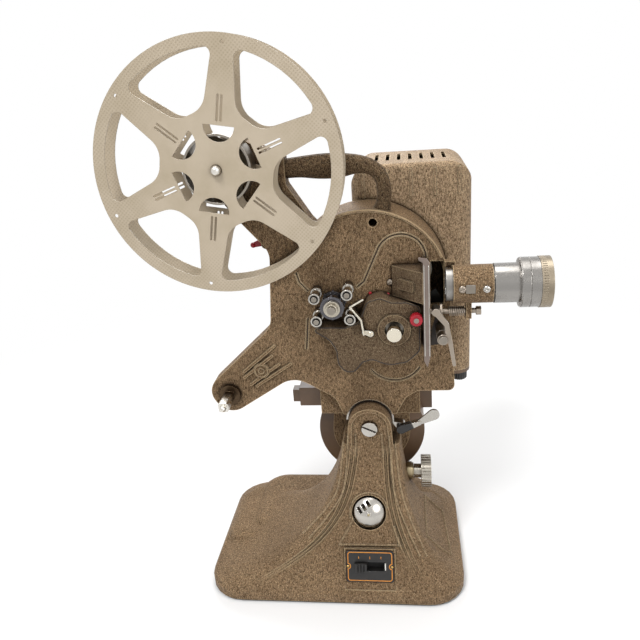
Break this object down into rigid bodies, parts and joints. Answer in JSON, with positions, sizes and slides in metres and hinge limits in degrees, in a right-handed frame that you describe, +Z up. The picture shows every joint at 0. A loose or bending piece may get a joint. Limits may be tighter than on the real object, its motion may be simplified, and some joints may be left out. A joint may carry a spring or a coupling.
{
  "type": "movie projector",
  "caption": "Cine projector on a ribbed cast pedestal: tilting round body with threading side, sprocket, gate and lens, lamphouse and motor behind, feed and take-up arms, reel and handle.",
  "frame": {"origin": "middle of the face the base rests on", "axes": "+X the way the lens points, +Y away from the threading side, +Z up"},
  "size_m": [0.3194, 0.179, 0.4379],
  "materials": {
    "enamel": "crackle enamel, bronze brown",
    "dark_enamel": "smooth enamel, dark brown",
    "reel_enamel": "satin enamel, tan",
    "nickel": "polished nickel",
    "steel": "ground steel",
    "bronze": "turned bronze",
    "black": "black moulded",
    "red": "red moulded",
    "felt": "black felt",
    "ceramic": "white insulator",
    "lens_glass": "polished glass",
    "silver": "silvered",
    "belt": "woven rubber belt"
  },
  "bodies": {
    "base": {"base_casting": "enamel", "base_plate": "steel", "base_pad": "felt", "switch_plate": "black", "switch_body": "black", "pilot_lamp": "ceramic", "tilt_bush": "bronze", "tilt_pivot_screw": "nickel"},
    "switch_slider": {"switch_slider": "black"},
    "pilot_shade": {"pilot_shade": "nickel"},
    "tilt_shaft": {"tilt_worm": "steel", "tilt_knob": "nickel"},
    "head": {"main_casting": "enamel", "carry_handle": "enamel", "rear_cover": "enamel", "mechanism_cover": "enamel", "tilt_band": "nickel", "tilt_sector": "steel", "lamphouse_floor": "dark_enamel", "lamp_socket": "ceramic", "lamp": "lens_glass", "reflector": "silver", "condenser_barrel": "steel", "condenser_lenses": "lens_glass", "gate_casting": "enamel", "gate_mirror": "silver", "gate_channel": "steel", "gate_spring": "steel", "lens_mount": "enamel", "shaft_bushes": "bronze", "film_studs": "steel", "film_stripper": "steel", "takeup_belt": "belt", "drive_belt": "belt", "motor_body": "dark_enamel", "motor_cap": "dark_enamel", "inlet_block": "black"},
    "lock_lever": {"tilt_lock_lever": "nickel"},
    "lamphouse_cover": {"lamphouse_cover": "enamel"},
    "feed_reel": {"feed_spindle": "steel", "reel_flanges": "reel_enamel", "reel_core": "steel"},
    "takeup": {"takeup_spindle": "steel"},
    "main_shaft": {"main_shaft": "steel", "inching_knob": "nickel", "shutter": "black"},
    "sprocket": {"sprocket": "nickel", "sprocket_gear": "steel"},
    "motor": {"motor_rotor": "steel"},
    "roller_1": {"roller_1": "nickel"},
    "roller_2": {"roller_2": "nickel"},
    "roller_3": {"roller_3": "nickel"},
    "roller_4": {"roller_4": "nickel"},
    "red_wheel": {"red_wheel": "red"},
    "pressure_plate": {"pressure_plate": "nickel"},
    "gate_lever": {"gate_lever": "nickel"},
    "lens": {"lens_barrel": "nickel", "lens_front_ring": "nickel", "lens_elements": "lens_glass"},
    "rewind_lever": {"rewind_lever": "red"}
  },
  "joints": [
    {"name": "switch_slide", "type": "slide", "parent": "base", "child": "switch_slider", "axis": [1, 0, 0], "range_m": [0, 0.014]},
    {"name": "shade_turn", "type": "hinge", "parent": "base", "child": "pilot_shade", "pos_m": [0.0305, -0.0503, 0.07], "axis": [0, -0.9397, 0.342], "continuous": true},
    {"name": "tilt", "type": "hinge", "parent": "base", "child": "head", "pos_m": [0.033, 0, 0.137], "axis": [0, -1, 0], "range_deg": [0, 12]},
    {"name": "tilt_drive", "type": "hinge", "parent": "base", "child": "tilt_shaft", "pos_m": [0.033, 0, 0.077], "axis": [-1, 0, 0], "range_deg": [0, 312]},
    {"name": "band_lock", "type": "hinge", "parent": "head", "child": "lock_lever", "pos_m": [0.058, -0.014, 0.1305], "axis": [0, 1, 0], "range_deg": [0, 55]},
    {"name": "cover_lift", "type": "slide", "parent": "head", "child": "lamphouse_cover", "axis": [0, 0, 1], "range_m": [0, 0.15]},
    {"name": "feed_spin", "type": "hinge", "parent": "head", "child": "feed_reel", "pos_m": [-0.064, 0, 0.349], "axis": [0, 1, 0], "continuous": true},
    {"name": "motor_spin", "type": "hinge", "parent": "head", "child": "motor", "pos_m": [0.0315, 0, 0.107], "axis": [0, 1, 0], "continuous": true},
    {"name": "main_spin", "type": "hinge", "parent": "head", "child": "main_shaft", "pos_m": [0.0555, 0, 0.2236], "axis": [0, 1, 0], "continuous": true},
    {"name": "sprocket_spin", "type": "hinge", "parent": "head", "child": "sprocket", "pos_m": [0.01019, 0, 0.24377], "axis": [0, 1, 0], "continuous": true},
    {"name": "takeup_spin", "type": "hinge", "parent": "head", "child": "takeup", "pos_m": [-0.0815, 0, 0.1635], "axis": [0, 1, 0], "continuous": true},
    {"name": "roller_1_spin", "type": "hinge", "parent": "head", "child": "roller_1", "pos_m": [-0.00251, 0, 0.25177], "axis": [0, 1, 0], "continuous": true},
    {"name": "roller_2_spin", "type": "hinge", "parent": "head", "child": "roller_2", "pos_m": [0.02179, 0, 0.25417], "axis": [0, 1, 0], "continuous": true},
    {"name": "roller_3_spin", "type": "hinge", "parent": "head", "child": "roller_3", "pos_m": [-0.00201, 0, 0.23397], "axis": [0, 1, 0], "continuous": true},
    {"name": "roller_4_spin", "type": "hinge", "parent": "head", "child": "roller_4", "pos_m": [0.02319, 0, 0.23487], "axis": [0, 1, 0], "continuous": true},
    {"name": "red_wheel_spin", "type": "hinge", "parent": "head", "child": "red_wheel", "pos_m": [0.0719, 0, 0.2335], "axis": [0, 1, 0], "continuous": true},
    {"name": "gate_open", "type": "slide", "parent": "head", "child": "pressure_plate", "axis": [1, 0, 0], "range_m": [0, 0.003], "stiffness_N_per_m": 200},
    {"name": "gate_lever_turn", "type": "hinge", "parent": "head", "child": "gate_lever", "pos_m": [0.091, 0, 0.2186], "axis": [0, 1, 0], "range_deg": [0, 7.92]},
    {"name": "focus", "type": "slide", "parent": "head", "child": "lens", "axis": [1, 0, 0], "range_m": [0, 0.008]},
    {"name": "rewind_turn", "type": "hinge", "parent": "head", "child": "rewind_lever", "pos_m": [-0.0396, 0, 0.2885], "axis": [0, 1, 0], "range_deg": [-15, 15]}
  ],
  "couplings": [
    {"joint": "tilt_drive", "follows": "tilt", "ratio": 26},
    {"joint": "main_spin", "follows": "motor_spin", "ratio": 0.62406},
    {"joint": "sprocket_spin", "follows": "motor_spin", "ratio": -0.078008},
    {"joint": "takeup_spin", "follows": "motor_spin", "ratio": -0.065455},
    {"joint": "gate_lever_turn", "follows": "gate_open", "rad_per_m": 46.083}
  ]
}
